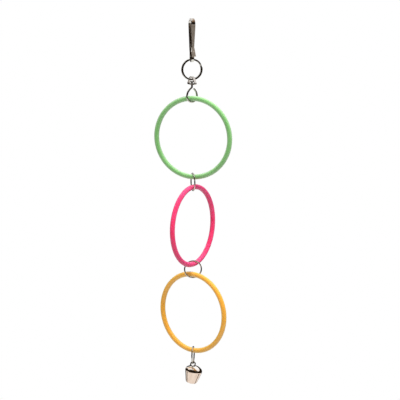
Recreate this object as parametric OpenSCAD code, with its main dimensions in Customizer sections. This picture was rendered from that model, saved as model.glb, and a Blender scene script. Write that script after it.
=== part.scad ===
// Bird swing for a cage roof: a snap hook, a split ring and a swivel carry three plastic
// hoops, which hang one below another on wire jump rings with a petal bell at the bottom.
// Millimetres. The origin is the centre of the hook's arch, where the cage bar lies,
// +Z points up, and +Y points away from the viewer. Every piece hangs from the one above
// it, so its height is worked out from the sizes of the pieces over it.

/* [Hoops] */
// Outside diameter of each plastic hoop
hoop_d = 75.5; // [64:0.5:110]
// Diameter of the hoop's round tube
hoop_tube_d = 4.5; // [4:0.25:6]

/* [Jump rings] */
// Outside diameter of each jump ring
link_d = 16.7; // [15:0.1:24]
// Diameter of the jump ring wire
link_wire_d = 1.2; // [0.8:0.1:1.6]
// Opening left where a jump ring's two ends meet
link_end_gap = 0.25; // [0.15:0.05:0.4]

/* [Snap hook] */
// Inside radius of the arch that lies on the cage bar
arch_r = 3.2; // [3:0.1:4.5]
// Width of the arch's band, seen from the side of the hook
hook_band = 2.1; // [1.8:0.1:2.8]
// Thickness of the hook at its arch
hook_t = 3.8; // [3.2:0.1:4.6]
// Thickness of the hook at its waist and eye
waist_t = 2.6; // [2.4:0.1:3]
// Height of the arch's centre above the gate's pin
pin_drop = 20; // [18:0.5:26]
// Height of the gate's pin above the centre of the eye
eye_drop = 10.25; // [9.5:0.25:14]
// Inside radius of the eye
eye_r = 2.3; // [2.1:0.1:3]
// Wall round the eye
eye_wall = 1.2; // [0.9:0.1:1.8]

/* [Gate] */
// Width of the gate at the hook's tip
gate_top_w = 3.8; // [3:0.1:4.6]
// Width of the gate in front of its pin
gate_waist_w = 1.8; // [1.5:0.1:2.2]
// Width of the gate's finger tail
gate_tail_w = 3.7; // [2.6:0.1:5]
// Sheet that the gate's back and cheeks are made of
gate_sheet = 0.6; // [0.5:0.05:0.8]
// Diameter of the gate's pin
pin_d = 1.2; // [0.9:0.1:1.4]

/* [Split ring] */
// Outside diameter of the split ring
split_d = 19.4; // [17:0.2:26]
// Width of the ring's flat wire, measured outwards
split_w = 1.5; // [1.2:0.1:1.8]
// Thickness of one turn of the flat wire
split_t = 0.9; // [0.7:0.05:1]
// Gap between the two turns, which are sprung a little apart
turn_gap = 0.45; // [0.42:0.01:0.6]

/* [Swivel] */
// Width of the yoke's strap, along the way that the ring passes
yoke_w = 2.6; // [2:0.1:3]
// Thickness of the yoke's strap
yoke_t = 0.9; // [0.8:0.05:1.3]
// Thickness of the yoke's base, which the eye's shank turns in
yoke_base_t = 1.3; // [1:0.1:2]
// Width of the yoke's base across its rounded corners
yoke_base_w = 10.6; // [9:0.1:12]
// Diameter of the swivel eye's shank
shank_d = 1.7; // [1.4:0.1:1.9]
// Length of shank that shows between the yoke and the eye's loop
neck_h = 2.7; // [2:0.1:5]
// Wire of the eye's loop
eye_wire_d = 1.6; // [1.2:0.1:1.8]
// Outside width of the eye's pear-shaped loop
pear_w = 11.8; // [11:0.1:16]
// Outside height of the eye's pear-shaped loop
pear_h = 14.5; // [13:0.1:20]

/* [Bell] */
// Widest diameter of the bell
bell_d = 15.7; // [13:0.1:20]
// Height of the bell's shell
bell_h = 16.8; // [16:0.1:22]
// Width of the bell where its side turns in to the bottom
bell_foot_d = 11; // [9:0.1:12]
// Wall of the bell's shell
bell_wall = 0.6; // [0.4:0.05:0.8]
// Width of the slots between the petals
slot_w = 0.9; // [0.6:0.05:1.4]
// Diameter of the pellet that rings inside
pellet_d = 4.8; // [3.6:0.1:5]
// Wire of the bell's hanging loop
bail_wire_d = 1.2; // [0.8:0.1:1.4]
// Inside radius of the bell's hanging loop
bail_r = 1.4; // [1.3:0.05:2.2]

/* [Hidden] */
$fn = 64;
// Angle between the points round a bar's end
end_step_angle = 10;
// Longer than every cut needs
overrun = 1;
// Air between a hanging piece and the piece that it hangs on
hang_gap = 0.2;
// Air on each side of a pin that turns in a hole
turn_clear = 0.05;
// Air round a riveted pin or a wire that is fixed in its hole
rivet_clear = 0.02;
// Air between two sheets that pass each other
side_clear = 0.1;

// How each piece is turned about the vertical at rest, in degrees from +X
hook_angle = 16;
yoke_angle = 38;
eye_angle = 30;
green_angle = -22.2;
pink_angle = 59.2;
orange_angle = -37.9;
upper_link_angle = -77;
middle_link_angle = 10.5;
lower_link_angle = 82.5;
// Where a jump ring's joint lies, in degrees up from its side
link_joint_angle = 20;

// Snap hook: the side view lies in X and Y, with the gate on the +X side
band_mid = arch_r + hook_band / 2;
arch_out = arch_r + hook_band;
spine_mid_share = 0.5;
spine_mid_in = 0.3;
spine_r = 1.2;
waist_r = 2.4;
waist_up = 0.8;
waist_back = 3.6;
pin_out = 1.2;
boss_r = 2;
neck_share = 0.43;
neck_back = 1.3;
neck_r = 2.3;
pin_at = [pin_out, -pin_drop];
waist_at = [pin_out - waist_back, -pin_drop + waist_up];
spine_mid_at = [-band_mid + spine_mid_in, -pin_drop * spine_mid_share];
neck_at = [-neck_back, -pin_drop - eye_drop * neck_share];
eye_at = [0, -pin_drop - eye_drop];
eye_z = eye_at[1];
// Half lap where the gate closes against the hook's tip
lap_h = 1;
lap_air = 0.12;
seam_air = 0.25;
// Rivet heads on the gate's pin
rivet_d = 2;
rivet_h = 0.35;

// Gate lever, in the same side view
gate_mid_share = 0.5;
gate_mid_in = 0.3;
gate_r = hook_band / 2;
gate_waist_r = 0.75;
tail_r = 0.5;
tail_out = 2.5;
tail_drop = 7.9;
gate_mid_at = [band_mid - gate_mid_in, -pin_drop * gate_mid_share];
gate_waist_at = [pin_out + boss_r + side_clear + gate_waist_r, -pin_drop];
tail_at = gate_waist_at + [tail_out, -tail_drop];
channel_stop_share = 0.85;
// Tongue that carries the gate on its pin, and the slot that it turns in
tongue_t = 1.2;
tongue_r = 1.3;
slot_t = tongue_t + 2 * side_clear;
slot_air = 0.25;
slot_room = 1;
slot_half_h = tongue_r + slot_room;
// Leaf spring that presses the gate shut
leaf_t = 0.28;
leaf_w = 0.9;
leaf_rise_share = 0.62;

// Split ring
split_r = split_d / 2;
split_in_r = split_r - split_w;
split_pitch = split_t + turn_gap;
split_half_t = split_t + turn_gap / 2;
step_angle = 34;
step_half_angle = 15;
step_join_angle = 17;
step_end_angle = 21;
// Angle between the points that the ring's gap to itself is measured at
measure_angle = 7.5;
// The flat wire rests with its two edges on the round eye
split_seat = sqrt(pow(eye_r - hang_gap, 2) - pow(split_half_t, 2));
split_z = eye_z - split_seat - split_in_r;

// Yoke: the side view lies in X and Y, with the arch's centre at the origin
yoke_in_r = 2.8;
yoke_corner_r = 1.2;
yoke_in_corner_r = 0.5;
pad_d = 4.8;
yoke_lean_angle = yoke_angle - hook_angle;
// How far off its middle the flat wire reaches inside the strap, which is turned to it
ring_reach = (split_half_t + yoke_w / 2 * sin(yoke_lean_angle)) / cos(yoke_lean_angle);
ring_sag = split_in_r - sqrt(pow(split_in_r, 2) - pow(ring_reach, 2));
yoke_rise = sqrt(pow(yoke_in_r, 2) - pow(ring_reach, 2)) - ring_sag;
yoke_arch_z = split_z - split_in_r + ring_sag + hang_gap - yoke_rise;
head_d = 3.4;
head_h = 1;
head_air = 0.65;
yoke_floor_z = split_z - split_r - head_air - head_h - side_clear;
yoke_bottom_z = yoke_floor_z - yoke_base_t;
yoke_leg = yoke_arch_z - yoke_bottom_z;

// Swivel eye
eye_wire_r = eye_wire_d / 2;
pear_r = pear_w / 2 - eye_wire_r;
pear_rise = pear_h - pear_w / 2 - eye_wire_r;
pear_top_z = yoke_bottom_z - neck_h - eye_wire_r;
pear_z = pear_top_z - pear_rise;
pear_side_r = (pow(pear_r, 2) + pow(pear_rise, 2)) / (2 * pear_r);
pear_side_angle = asin(pear_rise / pear_side_r);
// Angle left open where the eye's wire comes back to its shank
pear_end_angle = 10;

// The hoops and jump rings hang one under another, and rest a little along the top hoop's
// tube from the middle of the swivel's eye
hoops_off = 0.86;
function line_at(z) = concat(hoops_off * unit(green_angle), [z]);
tube_r = hoop_tube_d / 2;
hoop_r = hoop_d / 2 - tube_r;
wire_r = link_wire_d / 2;
link_r = link_d / 2 - wire_r;
// Drop from the bottom of a hoop's tube to a jump ring's centre, and the other way round
link_drop = hoop_r + link_r - tube_r - wire_r - hang_gap;
green_z = pear_z - pear_r + eye_wire_r + tube_r + hang_gap - hoop_r;
upper_link_z = green_z - link_drop;
pink_z = upper_link_z - link_drop;
middle_link_z = pink_z - link_drop;
orange_z = middle_link_z - link_drop;
lower_link_z = orange_z - link_drop;
link_foot_z = lower_link_z - link_r;

// Bell: its own frame starts at the centre of the hanging loop, and leans with the bell
bell_lean_angle = 12;
bail_off = 1.89;
bail_leg = 1;
bail_in = 0.8;
slots_angle = 49.5;
bail_ring_r = bail_r + bail_wire_d / 2;
bail_z = link_foot_z - (bail_r - wire_r - hang_gap);
crown_r = 10;
shoulder_r = 3;
foot_r = 2.4;
foot_hole_d = 2;
petal_top = 6.2;
slot_end_d = 1.6;
shoulder_x = bell_d / 2 - shoulder_r;
shoulder_y = sqrt(pow(crown_r - shoulder_r, 2) - pow(shoulder_x, 2)) - crown_r;
foot_x = bell_foot_d / 2 - foot_r;
foot_y = foot_r - bell_h;
side_run = norm([shoulder_x - foot_x, shoulder_y - foot_y]);
side_angle = atan2(shoulder_x - foot_x, shoulder_y - foot_y) - asin((foot_r - shoulder_r) / side_run);
arc_steps = 8;
// The pellet swings under a point on the bell's axis
pellet_swing = 5;
pellet_air = 0.25;
pellet_hub = -bell_h + bell_wall + pellet_air + pellet_d / 2 + pellet_swing;

nickel = [0.80, 0.79, 0.76];
tan_steel = [0.62, 0.54, 0.46];
green = [0.45, 0.72, 0.41];
pink = [0.94, 0.31, 0.51];
orange = [0.91, 0.63, 0.24];

// Point on a unit circle
function unit(angle) = [cos(angle), sin(angle)];

// Points along an arc from one angle to another
function arc(centre, r, from, to) =
    [for (i = [0:arc_steps]) centre + r * unit(from + (to - from) * i / arc_steps)];

// Points round a bar's end, on a grid of angles that all bars share, so that their ends match
function round_end(centre, r, from, to) = concat(
    [centre + r * unit(from)],
    [for (angle = [ceil(from / end_step_angle) * end_step_angle:end_step_angle:to])
        if (angle > from && angle < to) centre + r * unit(angle)],
    [centre + r * unit(to)]
);

// Bar with round ends of two radii and straight sides that touch both
module bar(a, a_r, b, b_r) {
    along = atan2(b[1] - a[1], b[0] - a[0]);
    lean = acos((a_r - b_r) / norm(b - a));
    polygon(concat(
        round_end(b, b_r, along - lean, along + lean),
        round_end(a, a_r, along + lean, along + 360 - lean)
    ));
}

// Stands a drawing of X and Y upright in the plane of Z and a line turned about the vertical
module upright(turn) {
    rotate([90, 0, turn])
        children();
}

// Places what is drawn in the hook's side view, with its thickness across that view
module hook_side() {
    upright(hook_angle - 90)
        children();
}

// Side view of the hook's body
module hook_outline() {
    difference() {
        circle(r = arch_out);
        circle(r = arch_r);
        translate([-arch_out - overrun, -arch_out - overrun])
            square([2 * (arch_out + overrun), arch_out + overrun]);
    }
    bar([-band_mid, 0], hook_band / 2, spine_mid_at, spine_r);
    bar(spine_mid_at, spine_r, waist_at, waist_r);
    bar(waist_at, waist_r, pin_at, boss_r);
    bar(waist_at, waist_r, neck_at, neck_r);
    bar(pin_at, boss_r, neck_at, neck_r);
    bar(neck_at, neck_r, eye_at, eye_r + eye_wall);
}

// Front view of a part that tapers, extruded right through the side view. Each station is
// a width and the height that it lies at.
module front_view(stations) {
    last = len(stations) - 1;
    rotate([0, 90, 0])
        linear_extrude(height = 4 * arch_out, center = true)
            polygon(concat(
                [for (station = stations) [station[0] / 2, station[1]]],
                [for (i = [last:-1:0]) [-stations[i][0] / 2, stations[i][1]]]
            ));
}

// Cast body of the hook: arch, spine, waist and eye in one piece
module hook_body() {
    color(nickel)
        hook_side()
            difference() {
                intersection() {
                    linear_extrude(height = hook_t + overrun, center = true)
                        hook_outline();
                    front_view([
                        [hook_t, arch_out + overrun], [hook_t, 0], [waist_t, boss_r - pin_drop],
                        [waist_t, eye_z - eye_r - eye_wall - overrun]
                    ]);
                }
                // Hole of the eye
                translate(eye_at)
                    cylinder(r = eye_r, h = hook_t + overrun, center = true);
                // Notch in the tip that the gate's lap closes into
                translate([0, -overrun, -hook_t / 2 - overrun])
                    cube([band_mid + lap_air / 2, lap_h + seam_air + overrun, hook_t + 2 * overrun]);
                // Slot for the gate's tongue, and the pin's hole across it
                translate([pin_out - tongue_r - slot_air, -pin_drop - slot_half_h, -slot_t / 2])
                    cube([boss_r + tongue_r + slot_air + overrun, 2 * slot_half_h, slot_t]);
                translate(pin_at)
                    cylinder(d = pin_d + 2 * rivet_clear, h = hook_t + overrun, center = true);
            }
}

// Width of the gate at a height between the arch's centre and the pin
function gate_width(y) = gate_top_w - (gate_top_w - gate_waist_w) * -y / pin_drop;

// Side view of the gate's back and finger tail
module gate_outline() {
    bar([band_mid, -gate_r - seam_air], gate_r, gate_mid_at, gate_r);
    bar(gate_mid_at, gate_r, gate_waist_at, gate_waist_r);
    bar(gate_waist_at, gate_waist_r, tail_at, tail_r);
    translate([arch_r, -gate_r - seam_air])
        square([hook_band, gate_r]);
    translate([arch_r, -gate_r - seam_air])
        square([hook_band / 2 - lap_air / 2, gate_r + seam_air + lap_h]);
}

// Pressed gate: a channel that closes the hook, its finger tail, and the tongue on the pin
module gate_lever() {
    color(tan_steel)
        hook_side()
            difference() {
                union() {
                    difference() {
                        intersection() {
                            linear_extrude(height = hook_t + gate_tail_w, center = true)
                                gate_outline();
                            front_view([
                                [gate_top_w, lap_h + overrun], [gate_top_w, 0],
                                [gate_waist_w, -pin_drop], [gate_tail_w, tail_at[1] - tail_r]
                            ]);
                        }
                        gate_channel();
                        translate(pin_at)
                            cylinder(r = boss_r + side_clear, h = hook_t + gate_tail_w, center = true);
                    }
                    linear_extrude(height = tongue_t, center = true)
                        bar(pin_at, tongue_r, gate_waist_at, gate_waist_r);
                }
                translate(pin_at)
                    cylinder(d = pin_d + 2 * turn_clear, h = hook_t, center = true);
            }
}

// Hollow between the gate's cheeks, open towards the hook's spine
module gate_channel() {
    top_y = -hook_band / 2;
    stop_y = -pin_drop * channel_stop_share;
    intersection() {
        translate([-gate_sheet, 0])
            linear_extrude(height = hook_t, center = true) {
                bar([band_mid, top_y], gate_r, gate_mid_at, gate_r);
                bar(gate_mid_at, gate_r, gate_waist_at, gate_waist_r);
            }
        front_view([for (y = [top_y, stop_y]) [gate_width(y) - 2 * gate_sheet, y]]);
    }
}

// Rivet that the gate turns on
module gate_pin() {
    color(nickel)
        hook_side()
            translate(pin_at) {
                cylinder(d = pin_d, h = waist_t + rivet_h, center = true);
                for (side = [-1, 1])
                    translate([0, 0, side * (waist_t + rivet_h) / 2])
                        cylinder(d = rivet_d, h = rivet_h, center = true);
            }
}

// Leaf spring: its foot lies in the slot and its blade leans on the gate's back
module gate_spring() {
    leaf_r = leaf_t / 2;
    foot_y = -pin_drop + slot_half_h - side_clear - leaf_r;
    foot_back = [pin_out - tongue_r - slot_air + side_clear + leaf_r, foot_y];
    foot_front = [pin_out + tongue_r, foot_y];
    rise_y = -pin_drop * leaf_rise_share;
    along_share = (rise_y - gate_mid_at[1]) / (gate_waist_at[1] - gate_mid_at[1]);
    back_x = gate_mid_at[0] + (gate_waist_at[0] - gate_mid_at[0]) * along_share;
    back_r = gate_r + (gate_waist_r - gate_r) * along_share;
    tip = [back_x + back_r - gate_sheet - hang_gap - leaf_r, rise_y];
    color(nickel)
        hook_side()
            linear_extrude(height = leaf_w, center = true) {
                bar(foot_back, leaf_r, foot_front, leaf_r);
                bar(foot_front, leaf_r, tip, leaf_r);
            }
}

// Split ring: two turns of flat wire, with the step that leads from one turn to the other.
// A plain ring of both turns' height loses the gap between them, and beside the step the
// two hollows that end each turn.
module split_ring() {
    low = -split_half_t;
    high = low + split_pitch;
    step_run = split_in_r * sin(step_half_angle);
    end_run = split_in_r * sin(step_end_angle);
    slope = split_pitch / (2 * step_run);
    color(nickel)
        translate([0, 0, split_z])
            upright(hook_angle)
                difference() {
                    rotate_extrude()
                        translate([split_in_r, low])
                            square([split_w, 2 * split_half_t]);
                    rotate(step_angle + step_join_angle)
                        rotate_extrude(angle = 360 - 2 * step_join_angle)
                            translate([split_in_r - overrun, low + split_t])
                                square([split_w + 2 * overrun, turn_gap]);
                    // Hollows over and under the step, drawn across the wire
                    rotate(step_angle - 90)
                        rotate([90, 0, 0])
                            translate([0, 0, -split_r - overrun])
                                linear_extrude(height = split_r) {
                                    polygon([
                                        [-step_run - overrun, high + split_t + slope * overrun],
                                        [step_run, low + split_t],
                                        [end_run, low + split_t],
                                        [end_run, high + split_t + slope * overrun]
                                    ]);
                                    polygon([
                                        [step_run + overrun, low - slope * overrun],
                                        [-step_run, high],
                                        [-end_run, high],
                                        [-end_run, low - slope * overrun]
                                    ]);
                                }
                }
}

// Least gap between the ring's two turns, measured between points on their middle lines
function split_axial(angle) =
    angle < 360 - step_join_angle ? 0
    : angle > 360 + step_join_angle ? split_pitch
    : split_pitch * (angle - 360 + step_join_angle) / (2 * step_join_angle);
function split_point(angle) =
    concat((split_in_r + split_w / 2) * unit(angle), [split_axial(angle)]);
split_angles = [for (angle = [step_end_angle:measure_angle:2 * 360 - step_end_angle]) angle];
split_gap = min([
    for (a = split_angles, b = split_angles)
        if (b - a > 180) norm(split_point(b) - split_point(a)) - split_t
]);
echo(least_gap_between_the_turns_of_the_split_ring = split_gap);

// Outline of the yoke, or of the window through it
module yoke_outline(arch, half_w, corner, floor_y) {
    left = [corner - half_w, floor_y + corner];
    right = [half_w - corner, floor_y + corner];
    bar([0, 0], arch, left, corner);
    bar([0, 0], arch, right, corner);
    bar(left, corner, right, corner);
    polygon([[0, 0], left, right]);
}

// Yoke: a bent strap that hangs on the split ring, with a flat base for the swivel
module swivel_yoke() {
    color(nickel)
        difference() {
            union() {
                translate([0, 0, yoke_arch_z])
                    upright(yoke_angle - 90)
                        linear_extrude(height = yoke_w, center = true)
                            difference() {
                                yoke_outline(yoke_in_r + yoke_t, yoke_base_w / 2, yoke_corner_r, -yoke_leg);
                                yoke_outline(
                                    yoke_in_r, yoke_base_w / 2 - yoke_t, yoke_in_corner_r,
                                    yoke_base_t - yoke_leg
                                );
                            }
                translate([0, 0, yoke_bottom_z])
                    cylinder(d = pad_d, h = yoke_base_t);
            }
            translate([0, 0, yoke_bottom_z - overrun])
                cylinder(d = shank_d + 2 * turn_clear, h = yoke_base_t + 2 * overrun);
        }
}

// One side of the eye's loop, which rises from its round bottom towards the shank
module pear_side(sweep) {
    translate([pear_r - pear_side_r, 0])
        rotate_extrude(angle = sweep)
            translate([pear_side_r, 0])
                circle(r = eye_wire_r);
}

// Swivel eye: a headed shank whose end is bent round into a pear-shaped loop
module swivel_eye() {
    head_z = yoke_floor_z + side_clear;
    color(nickel) {
        translate([0, 0, head_z])
            cylinder(d = head_d, h = head_h);
        translate([0, 0, pear_top_z])
            cylinder(d = shank_d, h = head_z + head_h / 2 - pear_top_z);
        translate([0, 0, pear_top_z])
            sphere(d = shank_d);
        translate([0, 0, pear_z])
            upright(eye_angle) {
                rotate(180)
                    rotate_extrude(angle = 180)
                        translate([pear_r, 0])
                            circle(r = eye_wire_r);
                mirror([1, 0, 0])
                    pear_side(pear_side_angle);
                pear_side(pear_side_angle - pear_end_angle);
            }
    }
}

// Moulded hoop with a round tube
module hoop(z, turn) {
    translate(line_at(z))
        upright(turn)
            rotate_extrude()
                translate([hoop_r, 0])
                    circle(r = tube_r);
}

// Jump ring of round wire, bent shut with its two ends facing each other
module jump_ring(z, turn) {
    open_angle = link_end_gap / link_r * 180 / PI;
    translate(line_at(z))
        upright(turn)
            rotate(link_joint_angle + open_angle / 2)
                rotate_extrude(angle = 360 - open_angle)
                    translate([link_r, 0])
                        circle(r = wire_r);
}

module green_hoop() {
    color(green)
        hoop(green_z, green_angle);
}

module pink_hoop() {
    color(pink)
        hoop(pink_z, pink_angle);
}

module orange_hoop() {
    color(orange)
        hoop(orange_z, orange_angle);
}

module upper_link() {
    color(nickel)
        jump_ring(upper_link_z, upper_link_angle);
}

module middle_link() {
    color(nickel)
        jump_ring(middle_link_z, middle_link_angle);
}

module lower_link() {
    color(nickel)
        jump_ring(lower_link_z, lower_link_angle);
}

// Frame of the bell: the loop's centre, leaning so that the bell's weight lies under it
module bell_frame() {
    translate(line_at(bail_z))
        rotate([0, 0, lower_link_angle - 90])
            rotate([0, bell_lean_angle, 0])
                children();
}

// Half section of the bell, drawn inwards by the wall for its inside
function bell_section(inset) = concat(
    [[0, -inset]],
    arc([0, -crown_r], crown_r - inset, 90, atan2(shoulder_y + crown_r, shoulder_x)),
    arc([shoulder_x, shoulder_y], shoulder_r - inset, atan2(shoulder_y + crown_r, shoulder_x), -side_angle),
    arc([foot_x, foot_y], foot_r - inset, -side_angle, -90),
    [[0, inset - bell_h]]
);

// Bell shell: one pressed dome whose four petals are bent in to the bottom
module bell_shell() {
    color(nickel)
        bell_frame()
            translate([bail_off, 0, -bail_leg])
                difference() {
                    rotate_extrude()
                        difference() {
                            polygon(bell_section(0));
                            polygon(bell_section(bell_wall));
                        }
                    // Slots between the petals
                    for (turn = [slots_angle, slots_angle + 90])
                        rotate(turn) {
                            translate([-bell_d / 2 - overrun, -slot_w / 2, -bell_h - overrun])
                                cube([bell_d + 2 * overrun, slot_w, bell_h - petal_top + overrun]);
                            translate([0, 0, -petal_top])
                                rotate([0, 90, 0])
                                    cylinder(d = slot_end_d, h = bell_d + 2 * overrun, center = true);
                        }
                    translate([0, 0, -bell_h - overrun])
                        cylinder(d = foot_hole_d, h = bell_wall + 2 * overrun);
                    // Holes for the loop's legs
                    for (side = [-1, 1])
                        translate([side * bail_ring_r - bail_off, 0, -shoulder_r])
                            cylinder(d = bail_wire_d + 2 * rivet_clear, h = shoulder_r + overrun);
                }
}

// Hanging loop of the bell: a staple whose two legs pass through the crown
module bell_bail() {
    color(nickel)
        bell_frame() {
            upright(0)
                rotate_extrude(angle = 180)
                    translate([bail_ring_r, 0])
                        circle(d = bail_wire_d);
            for (side = [-1, 1]) {
                crown_drop = crown_r - sqrt(pow(crown_r, 2) - pow(side * bail_ring_r - bail_off, 2));
                leg_h = bail_leg + crown_drop + bell_wall + bail_in;
                translate([side * bail_ring_r, 0, -leg_h])
                    cylinder(d = bail_wire_d, h = leg_h);
            }
        }
}

// Ball that rings inside the bell, lying under the point that it swings about
module bell_pellet() {
    color(nickel)
        bell_frame()
            translate([bail_off, 0, pellet_hub - bail_leg])
                rotate([0, -bell_lean_angle, 0])
                    translate([0, 0, -pellet_swing])
                        sphere(d = pellet_d);
}

hook_body();
gate_lever();
gate_pin();
gate_spring();
split_ring();
swivel_yoke();
swivel_eye();
green_hoop();
upper_link();
pink_hoop();
middle_link();
orange_hoop();
lower_link();
bell_bail();
bell_shell();
bell_pellet();
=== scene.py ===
import math

import bmesh
import bpy
from mathutils import Matrix, Vector


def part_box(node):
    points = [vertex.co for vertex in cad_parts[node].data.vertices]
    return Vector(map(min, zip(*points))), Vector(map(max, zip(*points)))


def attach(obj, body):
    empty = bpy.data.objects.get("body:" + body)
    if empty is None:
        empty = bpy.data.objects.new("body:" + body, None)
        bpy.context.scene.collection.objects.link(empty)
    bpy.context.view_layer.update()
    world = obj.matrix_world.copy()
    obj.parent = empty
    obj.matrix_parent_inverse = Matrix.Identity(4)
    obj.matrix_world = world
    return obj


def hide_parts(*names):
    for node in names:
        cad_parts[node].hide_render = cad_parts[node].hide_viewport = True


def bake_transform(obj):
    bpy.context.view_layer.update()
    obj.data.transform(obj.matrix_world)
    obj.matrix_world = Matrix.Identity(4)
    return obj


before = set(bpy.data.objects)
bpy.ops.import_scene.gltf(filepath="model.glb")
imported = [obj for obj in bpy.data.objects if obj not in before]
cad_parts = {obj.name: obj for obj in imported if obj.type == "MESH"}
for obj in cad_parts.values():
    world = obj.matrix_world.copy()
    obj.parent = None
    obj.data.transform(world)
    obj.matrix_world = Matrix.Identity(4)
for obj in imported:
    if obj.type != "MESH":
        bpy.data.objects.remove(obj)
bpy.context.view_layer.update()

# Camera: it stands a metre and a half in front of the swing, a little above the hook, and
# looks down towards the middle hoop.
LOOKS_DOWN = 9.18
camera = bpy.data.objects.new("camera", bpy.data.cameras.new("camera"))
bpy.context.scene.collection.objects.link(camera)
camera.location = (0.0072, -1.5, 0.0840)
camera.rotation_euler = (math.radians(90 - LOOKS_DOWN), 0, 0)
camera.data.lens = 151.1
camera.data.sensor_width = 36
camera.data.clip_start = 0.1
camera.data.clip_end = 100
bpy.context.scene.camera = camera
bpy.context.scene.view_settings.view_transform = "Standard"


# Studio: a white sweep all round, soft light from a large box overhead and a weaker one in
# front, and dark cards that only polished metal mirrors, as a photographer sets them.
def put_in_scene(name, bm, material):
    mesh = bpy.data.meshes.new(name)
    bm.to_mesh(mesh)
    bm.free()
    mesh.materials.append(material)
    piece = bpy.data.objects.new(name, mesh)
    bpy.context.scene.collection.objects.link(piece)
    return piece


def move(bm, vec):
    """Shifts the whole form."""
    bmesh.ops.translate(bm, vec=vec, verts=bm.verts)


def rotate(bm, degrees, axis):
    """Turns the whole form about an axis through its origin."""
    turn = Matrix.Rotation(math.radians(degrees), 3, axis)
    bmesh.ops.rotate(bm, cent=(0, 0, 0), matrix=turn, verts=bm.verts)


def bare_tree(holder):
    """Node tree of a new world or material, emptied."""
    holder.use_nodes = True
    holder.node_tree.nodes.clear()
    return holder.node_tree


def seen_directly(tree):
    """1 where the camera sees a surface, also in polished metal or through clear plastic."""
    path = tree.nodes.new("ShaderNodeLightPath")
    seen = path.outputs["Is Camera Ray"]
    for kind in ("Is Glossy Ray", "Is Transmission Ray"):
        either = tree.nodes.new("ShaderNodeMath")
        either.operation = "MAXIMUM"
        tree.links.new(seen, either.inputs[0])
        tree.links.new(path.outputs[kind], either.inputs[1])
        seen = either.outputs[0]
    return seen


def show_white(tree, lit, white, out):
    """Shows white where the surface is seen directly, and the lit shader to everything else."""
    mix = tree.nodes.new("ShaderNodeMixShader")
    tree.links.new(seen_directly(tree), mix.inputs[0])
    tree.links.new(lit.outputs[0], mix.inputs[1])
    tree.links.new(white.outputs[0], mix.inputs[2])
    tree.links.new(mix.outputs[0], out.inputs[0])


world = bpy.data.worlds.new("white_room")
bpy.context.scene.world = world
room = bare_tree(world)
room_light = room.nodes.new("ShaderNodeBackground")
room_light.inputs["Color"].default_value = (0.97, 0.98, 1.0, 1)
room_light.inputs["Strength"].default_value = 0.50
room_white = room.nodes.new("ShaderNodeBackground")
room_white.inputs["Color"].default_value = (1, 1, 1, 1)
show_white(room, room_light, room_white, room.nodes.new("ShaderNodeOutputWorld"))

FLOOR_R, FLOOR_Z = 8, -1.7
floor_paint = bpy.data.materials.new("floor_paint")
floor_tree = bare_tree(floor_paint)
floor_matt = floor_tree.nodes.new("ShaderNodeBsdfDiffuse")
floor_matt.inputs["Color"].default_value = (0.86, 0.85, 0.83, 1)
floor_white = floor_tree.nodes.new("ShaderNodeEmission")
floor_white.inputs["Color"].default_value = (1, 1, 1, 1)
show_white(floor_tree, floor_matt, floor_white, floor_tree.nodes.new("ShaderNodeOutputMaterial"))
bm = bmesh.new()
bmesh.ops.create_circle(bm, cap_ends=True, segments=64, radius=FLOOR_R)
move(bm, (0, 0, FLOOR_Z))
floor = put_in_scene("floor", bm, floor_paint)


def card_paint(name, colour):
    """Even paint that keeps its colour however the card is lit."""
    paint = bpy.data.materials.new(name)
    tree = bare_tree(paint)
    face = tree.nodes.new("ShaderNodeEmission")
    face.inputs["Color"].default_value = (*colour, 1)
    out = tree.nodes.new("ShaderNodeOutputMaterial")
    tree.links.new(face.outputs[0], out.inputs[0])
    return paint


def card(name, paint, middle, sweep, foot, head):
    """Curved card round an azimuth's side, between two edges given as (distance, height)."""
    bm = bmesh.new()
    edge = bm.edges.new([bm.verts.new((0, -distance, height)) for distance, height in (foot, head)])
    rotate(bm, middle - sweep / 2, "Z")
    bmesh.ops.spin(
        bm, geom=[edge], cent=(0, 0, 0), axis=(0, 0, 1), angle=math.radians(sweep), steps=24)
    sheet = put_in_scene(name, bm, paint)
    sheet.visible_camera = False
    sheet.visible_diffuse = False
    sheet.visible_shadow = False
    sheet.visible_transmission = False


card_black = card_paint("card_black", (0.020, 0.014, 0.009))
card_tan = card_paint("card_tan", (0.30, 0.21, 0.14))
card("card_front", card_black, 0, 150, (2, -1.2), (2, 2.1))
card("card_front_top", card_black, -10, 120, (2, 2.1), (1.0, 3.2))
card("card_left", card_black, -100, 50, (2, -0.75), (2, 1.3))
card("card_left_edge", card_black, -132, 14, (2, -1.5), (2, 1.3))
card("card_back_left", card_black, -147, 16, (2, -1.5), (2, -0.122))
card("card_back_edge", card_black, -166, 22, (2, -1.5), (2, 1.3))
card("card_right", card_black, 126, 102, (2, -1.3), (2, 0.8))
card("card_roof", card_tan, 60, 50, (2, 2.1), (0.6, 3.2))


SWING_MIDDLE = Vector((0, 0, -0.16))


def soft_box(name, place, size, power):
    """Even lamp that is turned to the middle of the swing and isn't mirrored."""
    lamp = bpy.data.lights.new(name, "AREA")
    lamp.shape = "RECTANGLE"
    lamp.size, lamp.size_y = size
    lamp.energy = power
    box = bpy.data.objects.new(name, lamp)
    box.visible_glossy = False
    box.location = place
    box.rotation_euler = (SWING_MIDDLE - Vector(place)).to_track_quat("-Z", "Y").to_euler()
    bpy.context.scene.collection.objects.link(box)


soft_box("box_above", (0.42, -0.50, 1.25), (1.2, 1.1), 34)
soft_box("box_front", (-1.1, -1.9, 0.6), (0.9, 0.9), 8)


# Snap hook body: a zinc casting, nickel plated, with rounded edges, an arch for the cage bar,
# a slender spine, a slotted boss for the gate and a round eye at the foot. It is drawn in
# millimetres, as seen from its side with the gate on the right, and then stood upright.
MM = 0.001
HOOK_ANGLE = 16


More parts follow.
